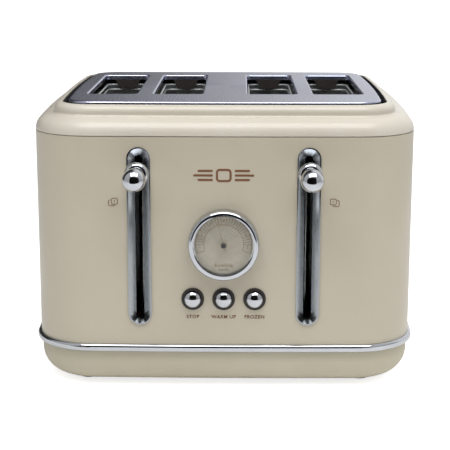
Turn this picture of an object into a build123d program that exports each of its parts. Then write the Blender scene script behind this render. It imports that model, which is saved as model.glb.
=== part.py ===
from build123d import *
import math
import os
from functools import lru_cache

# Four-slice pop-up toaster with two bread lifts, a browning dial and three push buttons.
#
# All lengths are millimetres. +Z is up and the front, with the levers, faces -Y. The pieces are
# modelled about the middle of the body, on the floor. put() then moves each one along Y, so that the
# origin of the written files is the middle of the whole toaster's footprint, levers included.

# ---- body outline, seen from above
body_width = 277.4
body_depth = 262.0
front_bow = 2.4  # how far the middle of the front and back stands out from their corners
side_bow = 4.0  # the same for the sides
corner_radius = 43.0

# ---- heights above the floor
foot_height = 3.5
base_top = 31.0
seam_height = 184.8  # where the painted wrap meets the top cover
groove_height = 196.5  # between the two rolls of the top cover
crest_height = 204.3
plate_height = 206.0  # top face of the steel top plate

# ---- shells
base_inset = 1.0
base_wall = 2.5
base_round = 18.0
wrap_wall = 0.8
wrap_lap = 5.0  # how far the base and the cover reach inside the wrap
lap_gap = 0.3
lap_wall = 2.2
seam_gap = 0.6
cover_wall = 2.5
lower_roll_radius = 11.4
groove_inset = 14.0
groove_round = 1.5  # softens the crease between the two rolls
upper_roll_radius = 4.8
well_inset = 19.7  # wall of the well that the top plate sits in
ledge_inset = 27.0
ledge_thickness = 2.5

# ---- chrome trim ring
trim_stand_out = 2.6
trim_height = 5.7
trim_bead_radius = 2.3
trim_flange = 0.8
trim_flange_reach = 3.0
trim_below_base_top = 2.4

# ---- top plate and its four bread slots
plate_inset = 24.0
plate_wall = 1.0
plate_edge_radius = 1.6
slot_width = 36.5
slot_length = 139.0
slot_corner = 3.5
slot_front_margin = 47.5  # from the plate's front edge to the slots
slot_lip_depth = 4.0
slot_edge_round = 1.3
pair_spacing = 119.2  # between the middles of the two slot pairs
slot_spacing = 49.2  # between the slots of a pair

# ---- toasting chamber
end_plate_wall = 1.0
chamber_gap = 5.0  # from the slot's end to the end plate
chamber_bottom = 24.0
chamber_shoulder = 193.0  # where the end plates narrow, to pass through the cover
chamber_top = 203.5
chamber_half_width = 116.0
chamber_neck_half = 103.2
upper_flange_height = 190.0
flange_reach = 44.0  # how far the end plates' upper flanges reach
lower_flange_reach = 38.0
leg_tab = 16.0
heater_wall = 0.8
heater_bottom = 42.0
heater_top = 192.0
heater_tab = 9.0
heater_edge_gap = 3.0  # between the mica's edge and the end plate
tab_gap = 0.2
ribbon_count = 11
ribbon_width = 2.0
ribbon_thickness = 0.25
ribbon_margin = 9.0
shield_wall = 0.6
shield_inset = 2.0
shield_rim = 3.0

# ---- bread guards
guard_wire = 0.9  # radius of the frame wires
guard_bar = 0.7  # radius of the upright wires
guard_offset = 17.4  # from the middle of the slot
guard_pivot_height = 46.0
guard_top_height = 186.0
guard_bar_count = 7
guard_swing = 3.0  # degrees, inwards, as the bread goes down
pivot_gap = 0.08

# ---- bread lifts
lever_travel = 88.0
lever_height = 161.0
rod_radius = 3.0
rod_gap = 0.08
rod_from_plate = 26.0  # from the front end plate to the guide rod
slider_width = 15.0
slider_height = 27.0
crossbar_wall = 2.0
crossbar_height = 12.0
crossbar_from_plate = 8.5
crossbar_half = 28.0
rack_wall = 1.5
rack_height = 9.0
rack_top = 140.0
rack_wing_wall = 1.2
rack_wing_width = 20.0
rack_wing_length = 5.0
rack_wing_pitch = 14.0
rack_slot_width = 4.0
rack_slot_spare = 3.0
lever_bar_width = 4.0
lever_bar_height = 11.0
stem_radius = 4.6
stem_start = 2.5  # in front of the wrap's face
collar_radius = 8.5
collar_length = 7.0
collar_round = 3.2
cone_radius = 5.0
collar_from_face = 18.0
ball_radius = 8.0
ball_from_face = 40.0
neck_radius = 3.6

# ---- carriage springs
spring_radius = 3.4
spring_wire = 0.45
spring_turns = 15
spring_offset = 12.5
spring_tab = 2.0

# ---- electromagnets
magnet_height = 20.5
magnet_width = 22.0
magnet_depth = 13.0
magnet_gap = 0.3
armature_wall = 2.0

# ---- lever tracks on the front
track_width = 16.5
track_length = 128.1
track_middle = 113.15
track_stand_out = 1.2
track_rim = 0.9
track_slot = 5.8
track_slot_drop = 1.5  # how far the slot's middle lies below the bezel's
track_slot_length = 118.6
track_depth = 2.8
track_back_wall = 3.6
track_hole_inset = 1.0
fit_gap = 0.15

# ---- control bracket behind the front
bracket_wall = 2.5
bracket_half_width = 74.0
bracket_bottom = 36.0
bracket_top = 181.0
board_wall = 1.6
board_half_width = 43.0
board_bottom = 55.0
board_top = 132.0
board_from_bracket = 10.0
standoff_radius = 3.2

# ---- browning dial
dial_height = 108.6
dial_ring_radius = 25.0
dial_bore_radius = 21.6
dial_ring_depth = 9.6
dial_gap = 0.4
dial_face_radius = 21.2
dial_face_wall = 2.0
dial_boss_radius = 12.0
dial_lens_wall = 1.4
dial_lens_from_front = 2.6
dial_pin_radius = 1.65
dial_shaft_radius = 3.0
dial_hole_gap = 0.1
pointer_length = 17.0
pointer_lean = 15.0  # degrees left of upright, as the toaster is stored
dial_sweep = 195.0  # degrees from the lowest to the highest setting
pointer_wall = 0.5
pot_size = 17.0
pot_depth = 7.5

# ---- push buttons
button_height = 68.2
button_spacing = 22.0
button_radius = 5.65
button_gap = 0.35
button_travel = 1.5
button_bezel_radius = 8.05
button_bezel_wall = 1.2
button_bezel_neck = 0.6
button_cap_front = 3.4
button_dome = 2.6
button_flange_radius = 6.9
button_stem_radius = 1.6
switch_size = 6.0
switch_depth = 4.0

# ---- crumb trays
tray_width = 90.0
tray_wall = 0.8
tray_bottom = 9.0
tray_rim = 17.0
tray_back_inset = 31.0  # from the back of the body to the back of the pan
tray_rail_gap = 0.3
tray_opening_gap = 0.6
handle_bottom = 8.4
handle_top = 20.2
handle_wall = 3.0
handle_tab_width = 40.0
handle_tab_height = 3.2
handle_tab_stand_out = 2.4
tray_travel = 200.0

# ---- feet, cord gland and screws
foot_radius = 7.5
foot_stud_radius = 3.2
foot_inset = 38.2  # from the sides of the body
foot_inset_back = 33.0  # from its front and back
gland_bore = 3.4
gland_neck = 6.0
gland_flange = 8.5
gland_flange_wall = 2.2
gland_tail = 6.0
gland_height = 52.0
post_radius = 4.2
screw_shank = 1.5
screw_head = 2.9
screw_head_height = 2.0
screw_recess = 3.5
cover_screw_spread = 22.0

# ---- derived places
half_width = body_width / 2
half_depth = body_depth / 2
through_back = -half_depth + 31.0  # cuts through the front run between these two planes
through_front = -half_depth - 19.0
foot_x = half_width - foot_inset
foot_y = half_depth - foot_inset_back
pair_middle = pair_spacing / 2
slot_front = -half_depth + plate_inset + slot_front_margin
slot_back = slot_front + slot_length
front_plate_back = slot_front - chamber_gap
front_plate_front = front_plate_back - end_plate_wall
rear_plate_front = slot_back + chamber_gap
rear_plate_back = rear_plate_front + end_plate_wall
rod_y = front_plate_front - rod_from_plate
crossbar_back = front_plate_front - crossbar_from_plate
slider_bottom = lever_height - slider_height + lever_bar_height / 2 + 1.0
base_floor = foot_height + base_wall
front_bow_radius = ((half_width - side_bow) ** 2 + front_bow**2) / (2 * front_bow)
side_bow_radius = ((half_depth - front_bow) ** 2 + side_bow**2) / (2 * side_bow)
wrap_bottom = base_top + trim_flange
wrap_top = seam_height - seam_gap
lower_flange_height = chamber_bottom + 2.0
tray_front = front_plate_back + 4.5
tray_back = half_depth - tray_back_inset
post_x = chamber_half_width - 6.0
arm_top = slider_bottom + crossbar_height
ribbon_pitch = (heater_top - heater_bottom - 2 * ribbon_margin) / (ribbon_count - 1)
ribbon_heights = [heater_bottom + ribbon_margin + turn * ribbon_pitch for turn in range(ribbon_count)]
# the mica's tabs sit midway between the two lowest and the two highest turns
heater_tab_heights = (ribbon_heights[0] + ribbon_pitch / 2, ribbon_heights[-1] - ribbon_pitch / 2)


def front_y(x):
    """Y of the wrap's outer face at the front, at a distance x from the middle."""
    return -half_depth + front_bow_radius - math.sqrt(front_bow_radius**2 - x**2)


track_face = front_y(pair_middle)
bezel_back = track_face + track_depth + track_back_wall
bracket_front = bezel_back
bracket_back = bracket_front + bracket_wall
board_front = bracket_back + board_from_bracket
board_back = board_front + board_wall
rear_most = half_depth + max(trim_stand_out, handle_tab_stand_out)
front_most = track_face - ball_from_face - ball_radius
origin_shift = -(rear_most + front_most) / 2

SIDES = {"left": -1, "right": 1}
BUTTONS = {"cancel": -button_spacing, "reheat": 0.0, "defrost": button_spacing}
# where the six posts that carry the end plates stand
POSTS = [(x, y) for x in (-post_x, 0.0, post_x) for y in (front_plate_front - 8.0, rear_plate_back + 8.0)]


# ---------------------------------------------------------------- helpers


def meeting_point(grow):
    """Where the front and side arcs of the outline meet, once both are grown outwards by grow."""
    front_radius, side_radius = front_bow_radius + grow, side_bow_radius + grow
    front_centre, side_centre = front_bow_radius - half_depth, side_bow_radius - half_width
    distance = math.hypot(side_centre, front_centre)
    along = (front_radius**2 - side_radius**2 + distance**2) / (2 * distance)
    across = math.sqrt(front_radius**2 - along**2)
    x = (-side_centre * along + front_centre * across) / distance
    y = front_centre - (front_centre * along + side_centre * across) / distance
    return x, -y


@lru_cache(maxsize=None)
def outline(grow=0.0):
    """The body's outline from above, grown outwards by grow, or inwards where it is negative."""
    x, y = meeting_point(grow)
    side, end = half_width + grow, half_depth + grow
    face = make_face(
        [
            ThreePointArc((-x, -y), (0, -end), (x, -y)).edge(),
            ThreePointArc((x, -y), (side, 0), (x, y)).edge(),
            ThreePointArc((x, y), (0, end), (-x, y)).edge(),
            ThreePointArc((-x, y), (-side, 0), (-x, -y)).edge(),
        ]
    )
    return fillet(face.vertices(), corner_radius + grow)


def slab(grow, bottom, top):
    """A solid of the body's outline between two heights."""
    return Pos(0, 0, bottom) * extrude(outline(grow), top - bottom)


def round_top(solid, radius):
    return fillet(solid.edges().group_by(Axis.Z)[-1], radius)


def round_bottom(solid, radius):
    return fillet(solid.edges().group_by(Axis.Z)[0], radius)


def block(x0, x1, y0, y1, z0, z1):
    """A box given by its two ends along each axis."""
    return Pos((x0 + x1) / 2, (y0 + y1) / 2, (z0 + z1) / 2) * Box(x1 - x0, y1 - y0, z1 - z0)


def facing(x, y, z):
    """A drawing plane at (x, y, z) that faces the front, with its own X to the right and Y up."""
    return Plane(origin=(x, y, z), x_dir=(1, 0, 0), z_dir=(0, -1, 0))


def forward(sketch, x, z, y_back, y_front):
    """Extrudes a sketch from y_back towards the front, to y_front."""
    return extrude(facing(x, y_back, z) * sketch, y_back - y_front)


def rod_along_y(radius, x, z, y_back, y_front):
    return forward(Circle(radius), x, z, y_back, y_front)


def rod_along_z(radius, x, y, bottom, top):
    return Pos(x, y, bottom) * extrude(Circle(radius), top - bottom)


def upright_slot(width, length):
    """A long hole with round ends, standing upright."""
    return SlotOverall(length, width, rotation=90)


def slot_middles(side):
    """X of the middles of the two slots of a pair, the outer one first."""
    return side * (pair_middle + slot_spacing / 2), side * (pair_middle - slot_spacing / 2)


def all_slots():
    return [x for side in SIDES.values() for x in slot_middles(side)]


def heater_places(side):
    """X of the three heaters of a pair: outer, middle and inner."""
    return side * (pair_middle + slot_spacing), side * pair_middle, side * (pair_middle - slot_spacing)


def put(name, shape):
    """Writes one sub-part, in the frame whose origin is the middle of the footprint."""
    solids = [Pos(0, origin_shift, 0) * s for s in shape.solids()]
    export_step(Compound(children=solids) if len(solids) > 1 else solids[0], f"parts/{name}.step")
    print(name, len(solids))


# ---------------------------------------------------------------- outer shells


def tray_box(side, gap, bottom, top, y0, y1):
    """The space of a crumb tray, widened by gap on both sides."""
    half = tray_width / 2 + gap
    return block(side * pair_middle - half, side * pair_middle + half, y0, y1, bottom, top)


def base_housing():
    outer = round_bottom(slab(-base_inset, foot_height, base_top), base_round)
    inner = round_bottom(slab(-base_inset - base_wall, base_floor, base_top + 1), base_round - base_wall)
    within = inner + slab(-base_inset - base_wall, base_top - 1, bracket_bottom + 1)
    base = outer - inner
    lap = slab(-wrap_wall - lap_gap, base_top - 1, wrap_bottom + wrap_lap)
    lap -= slab(-wrap_wall - lap_gap - lap_wall, base_top - 2, wrap_bottom + wrap_lap + 1)
    base += lap
    for x, y in POSTS:
        post = rod_along_z(post_radius, x, y, foot_height, chamber_bottom)
        base += post & outer
    for side in SIDES.values():
        for rail in (-30.0, 30.0):
            x = side * pair_middle + rail
            rail_top = tray_bottom - tray_rail_gap
            base += block(x - 2, x + 2, tray_front - 2, tray_back, base_floor - 1, rail_top)
        stand_x, stand_y = side * 30.0, (bracket_front + bracket_back) / 2
        base += rod_along_z(post_radius, stand_x, stand_y, base_floor - 1, bracket_bottom) & within
        low, high = handle_bottom - tray_opening_gap, handle_top + tray_opening_gap
        base -= tray_box(side, tray_opening_gap, low, high, half_depth - 41, half_depth + 9)
        for y in (-foot_y, foot_y):
            base -= rod_along_z(foot_stud_radius, side * foot_x, y, 0, base_floor + 1)
        for row in range(6):
            y = -38.0 + row * 20.0
            base -= block(side * pair_middle - 18, side * pair_middle + 18, y, y + 4, 0, base_floor + 0.5)
    for x, y in POSTS:
        base -= rod_along_z(screw_shank + 0.1, x, y, 0, chamber_bottom + 1)
        base -= rod_along_z(screw_head + 0.5, x, y, 0, foot_height + screw_recess)
    return base


def body_shell():
    wrap = slab(0, wrap_bottom, wrap_top) - slab(-wrap_wall, wrap_bottom - 1, wrap_top + 1)
    hole = upright_slot(track_width - 2 * track_hole_inset, track_length - 2 * track_hole_inset)
    for side in SIDES.values():
        wrap -= forward(hole, side * pair_middle, track_middle, through_back, through_front)
    wrap -= rod_along_y(dial_boss_radius + fit_gap, 0, dial_height, through_back, through_front)
    button_hole = button_radius + button_gap + button_bezel_neck + fit_gap
    for x in BUTTONS.values():
        wrap -= rod_along_y(button_hole, x, button_height, through_back, through_front)
    wrap -= rod_along_y(gland_neck + fit_gap, 0, gland_height, half_depth + 9, half_depth - 9)
    return wrap


def top_cover():
    lower = round_top(slab(0, seam_height, groove_height), lower_roll_radius)
    upper = round_top(slab(-groove_inset, groove_height - 2, crest_height), upper_roll_radius)
    cover = lower + upper
    cover = fillet(new_edges(lower, upper, combined=cover), groove_round)
    cover -= slab(-well_inset, groove_height, crest_height + 1)
    cover -= slab(-ledge_inset, seam_height - 10, crest_height + 1)
    ledge_bottom = groove_height - ledge_thickness
    hollow = round_top(slab(-cover_wall, seam_height - 1, ledge_bottom), lower_roll_radius - cover_wall)
    cover -= hollow
    skirt = slab(-wrap_wall - lap_gap, wrap_top - wrap_lap, seam_height + 3)
    skirt -= slab(-wrap_wall - lap_gap - lap_wall, wrap_top - wrap_lap - 1, seam_height + 4)
    cover += skirt
    for x, y in cover_screw_places():
        cover += rod_along_z(post_radius, x, y, upper_flange_height + end_plate_wall, ledge_bottom + 1)
        cover -= rod_along_z(screw_shank, x, y, upper_flange_height, ledge_bottom + 1)
    return cover


def cover_screw_places():
    """Where the end plates' upper flanges are screwed to the cover's ledge."""
    front = front_plate_back - flange_reach + 5
    rear = half_depth - ledge_inset + 2
    return [
        (side * pair_middle + spread, y)
        for side in SIDES.values()
        for spread in (-cover_screw_spread, cover_screw_spread)
        for y in (front, rear)
    ]


def top_plate():
    plate = round_top(slab(-plate_inset, groove_height, plate_height), plate_edge_radius)
    under = slab(-plate_inset - plate_wall, groove_height - 1, plate_height - plate_wall)
    plate -= round_top(under, plate_edge_radius - plate_wall)
    middle = (slot_front + slot_back) / 2
    opening = RectangleRounded(slot_width, slot_length, slot_corner)
    lip = RectangleRounded(slot_width + 2, slot_length + 2, slot_corner + 1)
    for x in all_slots():
        place = Pos(x, middle, plate_height - plate_wall - slot_lip_depth + 1)
        plate += place * extrude(lip, slot_lip_depth)
    for x in all_slots():
        plate -= Pos(x, middle, groove_height - 1) * extrude(opening, 20)
    edges = plate.edges().group_by(Axis.Z)[-1]
    slot_edges = edges.filter_by_position(Axis.Y, slot_front - 1, slot_back + 1)
    limit = half_width - plate_inset - 8
    return fillet(slot_edges.filter_by_position(Axis.X, -limit, limit), slot_edge_round)


def trim_ring():
    bottom = base_top - trim_below_base_top
    bead = slab(trim_stand_out, bottom, bottom + trim_height)
    bead = round_bottom(round_top(bead, trim_bead_radius), trim_bead_radius)
    bead -= slab(0.1, bottom - 1, bottom + trim_height + 1)
    flange = slab(0.2, base_top, base_top + trim_flange) - slab(-trim_flange_reach, 0, 60)
    flange -= slab(-wrap_wall - lap_gap, 0, 60)
    return bead + flange


def feet():
    shapes = []
    for x in (-foot_x, foot_x):
        for y in (-foot_y, foot_y):
            pad = Pos(x, y, 0) * extrude(Circle(foot_radius), foot_height)
            pad = fillet(pad.edges().group_by(Axis.Z)[0], 1.2)
            shapes.append(pad + rod_along_z(foot_stud_radius, x, y, foot_height - 1, base_floor))
    return Compound(children=[s.solid() for s in shapes])


def cord_gland():
    """A snap-in bush that grips the edge of its hole in the rear wall."""
    outer_face = half_depth
    bush = rod_along_y(gland_flange, 0, gland_height, outer_face + gland_flange_wall, outer_face + 0.05)
    bush = fillet(bush.edges().group_by(Axis.Y)[-1], 0.9)
    bush += rod_along_y(gland_neck, 0, gland_height, outer_face + 0.1, outer_face - wrap_wall - gland_tail)
    inner_face = outer_face - wrap_wall - 0.1
    bush += rod_along_y(gland_neck + 1.2, 0, gland_height, inner_face, inner_face - 1.8)
    return bush - rod_along_y(gland_bore, 0, gland_height, half_depth + 10, half_depth - 20)


# ---------------------------------------------------------------- front controls


def lever_bezel(side):
    """A chromed obround trim with a sloping trough, which follows the bow of the front."""
    x = side * pair_middle
    band = slab(track_stand_out, 20, 200) - slab(0, 10, 210)
    outer = upright_slot(track_width, track_length)
    flange = band & forward(outer, x, track_middle, through_back, through_front)
    neck_width = track_width - 2 * track_hole_inset - 2 * fit_gap
    neck_length = track_length - 2 * track_hole_inset - 2 * fit_gap
    neck = forward(upright_slot(neck_width, neck_length), x, track_middle, bezel_back, through_front)
    neck &= slab(track_stand_out, 20, 200)
    bezel = flange + neck
    floor = track_face + track_depth
    spare = 1.0 / (track_depth + track_stand_out)
    wide, tall = track_width - 2 * track_rim, track_length - 2 * track_rim
    mouth = upright_slot(wide + spare * (wide - track_slot), tall + spare * (tall - track_slot_length))
    slot = upright_slot(track_slot, track_slot_length)
    mouth_plane = facing(x, track_face - track_stand_out - 1.0, track_middle + spare * track_slot_drop)
    floor_plane = facing(x, floor, track_middle - track_slot_drop)
    bezel -= loft([(mouth_plane * mouth).face(), (floor_plane * slot).face()], ruled=True)
    bezel -= forward(slot, x, track_middle - track_slot_drop, bezel_back + 1, floor - 0.2)
    return bezel


def control_bracket():
    half = bracket_half_width
    panel = block(-half, half, bracket_front, bracket_back, bracket_bottom, bracket_top)
    panel = fillet(panel.edges().filter_by(Axis.Y), 6)
    for side in SIDES.values():
        slot = upright_slot(track_slot + 1, track_slot_length + 1)
        x, z = side * pair_middle, track_middle - track_slot_drop
        panel -= forward(slot, x, z, through_back, through_front)
    panel -= rod_along_y(dial_shaft_radius + 1.0, 0, dial_height, through_back, through_front)
    for x in BUTTONS.values():
        panel -= rod_along_y(button_flange_radius + 0.4, x, button_height, through_back, through_front)
    for x, z in board_screw_places():
        panel += rod_along_y(standoff_radius, x, z, board_front, bracket_back - 1)
        panel -= rod_along_y(screw_shank, x, z, board_front + 1, bracket_back)
    return panel


def board_screw_places():
    inset = 5.0
    return [
        (x, z)
        for x in (-board_half_width + inset, board_half_width - inset)
        for z in (board_bottom + inset, board_top - inset)
    ]


def button_bezels():
    rings = []
    for x in BUTTONS.values():
        inner = button_radius + button_gap
        front = -half_depth - button_bezel_wall
        ring = rod_along_y(button_bezel_radius, x, button_height, -half_depth + 0.5, front)
        ring = fillet(ring.edges().group_by(Axis.Y)[0], 0.5)
        ring -= slab(0, 20, 200)
        neck = inner + button_bezel_neck
        ring += rod_along_y(neck, x, button_height, bracket_front - 1.2, front + 0.9)
        ring -= rod_along_y(inner, x, button_height, through_back, through_front)
        rings.append(ring.solid())
    return Compound(children=rings)


def push_button(x):
    """A domed cap on a stem that ends just short of its switch."""
    cap_front = -half_depth - button_cap_front
    cap_back = bracket_front - 0.6
    cap = rod_along_y(button_radius, x, button_height, cap_back, cap_front)
    dome_radius = (button_radius**2 + button_dome**2) / (2 * button_dome)
    dome = Pos(x, cap_front + dome_radius - button_dome, button_height) * Sphere(dome_radius)
    dome &= rod_along_y(button_radius, x, button_height, cap_front + 1, cap_front - button_dome - 1)
    button = cap + dome
    button += rod_along_y(button_flange_radius, x, button_height, cap_back + 1.0, cap_back - 0.2)
    stem_back = board_front - switch_depth - button_travel - 0.3
    return button + rod_along_y(button_stem_radius, x, button_height, stem_back, cap_back)


def control_board():
    board = block(-board_half_width, board_half_width, board_front, board_back, board_bottom, board_top)
    for x, z in board_screw_places():
        board -= rod_along_y(screw_shank + 0.1, x, z, board_back + 1, board_front - 1)
    return board


def button_switches():
    switches = []
    for x in BUTTONS.values():
        half = switch_size / 2
        front = board_front - switch_depth
        low, high = button_height - half, button_height + half
        body = block(x - half, x + half, front + 0.8, board_front, low, high)
        plunger = rod_along_y(1.5, x, button_height, front + 1, front)
        switches.append((body + plunger).solid())
    return Compound(children=switches)


def dial_potentiometer():
    half = pot_size / 2
    body = block(-half, half, board_front - pot_depth, board_front, dial_height - half, dial_height + half)
    body = chamfer(body.edges().filter_by(Axis.Y), 2)
    hole = dial_shaft_radius + dial_hole_gap
    return body - rod_along_y(hole, 0, dial_height, board_front - 1.5, bracket_front)


def dial_face():
    """The fixed scale plate, with a boss through the wrap to the bracket."""
    front = -half_depth - dial_face_wall
    face = rod_along_y(dial_face_radius, 0, dial_height, -half_depth + 1.5, front) - slab(0, 20, 200)
    face = fillet(face.edges().group_by(Axis.Y)[0], 0.4)
    face += rod_along_y(dial_boss_radius, 0, dial_height, bracket_front, -half_depth - 0.5)
    shaft_hole, pin_hole = dial_shaft_radius + dial_hole_gap, dial_pin_radius + dial_hole_gap
    face -= rod_along_y(shaft_hole, 0, dial_height, through_back, -half_depth + 1.0)
    return face - rod_along_y(pin_hole, 0, dial_height, through_back, through_front)


def dial_ring_places():
    """Y of the back and the front of the turning dial ring."""
    back = -half_depth - dial_gap
    return back, back - dial_ring_depth


def dial_ring():
    back, front = dial_ring_places()
    ring = rod_along_y(dial_ring_radius, 0, dial_height, back, front)
    ring = fillet(ring.edges().group_by(Axis.Y)[0], 2.6)
    ring -= rod_along_y(dial_bore_radius, 0, dial_height, back + 1, front - 1)
    lens_back = front + dial_lens_from_front + dial_lens_wall
    ledge = rod_along_y(dial_bore_radius + 0.1, 0, dial_height, lens_back + 1.2, lens_back)
    ledge -= rod_along_y(dial_bore_radius - 0.9, 0, dial_height, lens_back + 2, lens_back - 1)
    return ring + ledge


def dial_lens():
    front = dial_ring_places()[1] + dial_lens_from_front
    lens = rod_along_y(dial_bore_radius, 0, dial_height, front + dial_lens_wall, front)
    return lens - rod_along_y(dial_pin_radius, 0, dial_height, through_back, through_front)


def dial_pointer():
    """The needle, its hub and the spindle that turns the potentiometer."""
    lens_front = dial_ring_places()[1] + dial_lens_from_front
    pin = rod_along_y(dial_pin_radius, 0, dial_height, -half_depth + 2, lens_front - 0.8)
    pin = fillet(pin.edges().group_by(Axis.Y)[0], 0.5)
    shaft_front = -half_depth + 1.4
    pin += rod_along_y(dial_shaft_radius, 0, dial_height, board_front - 2.0, shaft_front)
    needle_back = lens_front + dial_lens_wall + pointer_wall + 0.3
    needle = Polygon((-0.9, -4.5), (0.9, -4.5), (0.35, pointer_length), (-0.35, pointer_length), align=None)
    needle = Rot(0, 0, pointer_lean) * needle
    needle = forward(needle, 0, dial_height, needle_back, needle_back - pointer_wall)
    hub = rod_along_y(2.6, 0, dial_height, needle_back, needle_back - pointer_wall)
    return pin + needle + hub


# ---------------------------------------------------------------- toasting chamber


def rack_windows(y_front, y_back):
    """The upright slots in the end plates that the bread racks slide in."""
    low = rack_top - rack_height - lever_travel - rack_slot_spare
    high = arm_top + rack_slot_spare
    half = rack_slot_width / 2
    return [block(x - half, x + half, y_front, y_back, low, high) for x in all_slots()]


def heater_tab_slots(y_front, y_back):
    half = heater_wall / 2 + tab_gap
    reach = heater_tab / 2 + tab_gap
    return [
        block(x - half, x + half, y_front, y_back, z - reach, z + reach)
        for side in SIDES.values()
        for x in heater_places(side)
        for z in heater_tab_heights
    ]


def guard_holes(y_front, y_back):
    """Pivot holes, and the slots that the swinging top wires run in."""
    holes = []
    swing = (guard_top_height - guard_pivot_height) * math.sin(math.radians(guard_swing))
    for x in all_slots():
        for hand in (-1, 1):
            wire_x = x + hand * guard_offset
            holes.append(rod_along_y(guard_wire + pivot_gap, wire_x, guard_pivot_height, y_back, y_front))
            end_x = wire_x - hand * (swing + 1.0)
            low_x, high_x = sorted((wire_x + hand * 1.5, end_x - hand * 1.2))
            low, high = guard_top_height - 2.2, guard_top_height + 1.6
            holes.append(block(low_x, high_x, y_front, y_back, low, high))
    return holes


def end_plate(y_front, y_back):
    """A flat end plate of the toasting chamber, with all its openings."""
    plate = block(-chamber_half_width, chamber_half_width, y_front, y_back, chamber_bottom, chamber_shoulder)
    plate += block(-chamber_neck_half, chamber_neck_half, y_front, y_back, chamber_shoulder - 1, chamber_top)
    cuts = rack_windows(y_front - 1, y_back + 1)
    cuts += heater_tab_slots(y_front - 1, y_back + 1)
    cuts += guard_holes(y_front - 1, y_back + 1)
    return plate - cuts


def front_chassis():
    plate = end_plate(front_plate_front, front_plate_back)
    for side in SIDES.values():
        x = side * pair_middle
        upper = (34, flange_reach, upper_flange_height)
        lower = (26, lower_flange_reach, lower_flange_height)
        for half, reach, z in (upper, lower):
            y = front_plate_back - reach
            plate += block(x - half, x + half, y, front_plate_back, z, z + end_plate_wall)
            plate -= rod_along_z(rod_radius, x, rod_y, z - 1, z + 3)
    plate += leg_tabs(front_plate_front - leg_tab, front_plate_back)
    return plate - screw_holes()


def rear_chassis():
    plate = end_plate(rear_plate_front, rear_plate_back)
    reach = half_depth - ledge_inset + 8
    top = upper_flange_height + end_plate_wall
    for side in SIDES.values():
        x = side * pair_middle
        plate += block(x - 34, x + 34, rear_plate_front, reach, upper_flange_height, top)
    plate += leg_tabs(rear_plate_front, rear_plate_back + leg_tab)
    return plate - screw_holes()


def leg_tabs(y_front, y_back):
    """Feet bent out of an end plate, which stand on the base's posts."""
    top = chamber_bottom + end_plate_wall
    tabs = [block(x - 6, x + 6, y_front, y_back, chamber_bottom, top) for x in (-post_x, 0, post_x)]
    return tabs[0] + tabs[1] + tabs[2]


def screw_holes():
    low = [(x, y, chamber_bottom) for x, y in POSTS]
    high = [(x, y, upper_flange_height) for x, y in cover_screw_places()]
    return [rod_along_z(screw_shank, x, y, z - 1, z + 3) for x, y, z in low + high]


def heat_shields():
    """Steel side panels between the end plates, with folded rims."""
    outer = chamber_half_width - shield_inset
    panel = block(outer - shield_wall, outer, front_plate_back, rear_plate_front, heater_bottom, heater_top)
    for z in (heater_bottom, heater_top - shield_wall):
        panel += block(outer - shield_rim, outer, front_plate_back, rear_plate_front, z, z + shield_wall)
    return Compound(children=[panel.solid(), mirror(panel, Plane.YZ).solid()])


def heater_board(x):
    """A mica sheet with two tabs at each end that sit in the end plates."""
    half = heater_wall / 2
    y0, y1 = front_plate_back + heater_edge_gap, rear_plate_front - heater_edge_gap
    board = block(x - half, x + half, y0, y1, heater_bottom, heater_top)
    for z in heater_tab_heights:
        reach = heater_tab / 2
        board += block(x - half, x + half, front_plate_front, rear_plate_back, z - reach, z + reach)
    return board


def heating_ribbons():
    """Flat resistance ribbon, wound round each mica sheet in level turns."""
    turns = []
    inner = heater_wall / 2
    outer = inner + ribbon_thickness
    y0, y1 = front_plate_back + heater_edge_gap, rear_plate_front - heater_edge_gap
    for side in SIDES.values():
        for x in heater_places(side):
            for z in ribbon_heights:
                low, high = z - ribbon_width / 2, z + ribbon_width / 2
                turn = block(x - outer, x + outer, y0 - ribbon_thickness, y1 + ribbon_thickness, low, high)
                turn -= block(x - inner, x + inner, y0, y1, low - 1, high + 1)
                turns.append(turn.solid())
    return Compound(children=turns)


def bread_guard(x):
    """A wire grille that keeps the bread off the heater. It swings about its lowest wire."""
    bar_front, bar_back = front_plate_back + 6, rear_plate_front - 6
    pivot = rod_along_y(guard_wire, x, guard_pivot_height, rear_plate_back + 2, front_plate_front - 2)
    top = rod_along_y(guard_wire, x, guard_top_height, rear_plate_back + 2, front_plate_front - 2)
    guard = pivot + top
    middle_height = (guard_pivot_height + guard_top_height) / 2
    guard += rod_along_y(guard_bar, x, middle_height, bar_back, bar_front)
    pitch = (bar_back - bar_front) / (guard_bar_count - 1)
    for number in range(guard_bar_count):
        y = bar_front + number * pitch
        if number in (0, guard_bar_count - 1):
            guard += rod_along_z(guard_wire * 0.9, x, y, guard_pivot_height, guard_top_height)
        else:
            guard += rod_along_z(guard_bar * 0.9, x, y, guard_pivot_height, guard_top_height)
    return guard


# ---------------------------------------------------------------- bread lifts


def guide_rod(side):
    low, high = lower_flange_height - 3, upper_flange_height + 3
    return rod_along_z(rod_radius, side * pair_middle, rod_y, low, high)


def carriage_slider(side):
    """The block that runs on the guide rod, with the crossbar that carries both racks."""
    x = side * pair_middle
    half = slider_width / 2
    top = slider_bottom + slider_height
    slider = block(x - half, x + half, rod_y - half, rod_y + half, slider_bottom, top)
    slider = fillet(slider.edges().filter_by(Axis.Z), 2)
    bar_top = slider_bottom + crossbar_height
    slider += block(x - 6, x + 6, rod_y + half - 1, crossbar_back, slider_bottom, bar_top)
    bar_front = crossbar_back - crossbar_wall
    slider += block(x - crossbar_half, x + crossbar_half, bar_front, crossbar_back, slider_bottom, bar_top)
    x0, x1 = sorted((x, x + side * (spring_offset + spring_radius + 1)))
    slider += block(x0, x1, rod_y - 4, rod_y + 4, slider_bottom, slider_bottom + spring_tab)
    return slider - rod_along_z(rod_radius + rod_gap, x, rod_y, slider_bottom - 1, top + 1)


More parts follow.
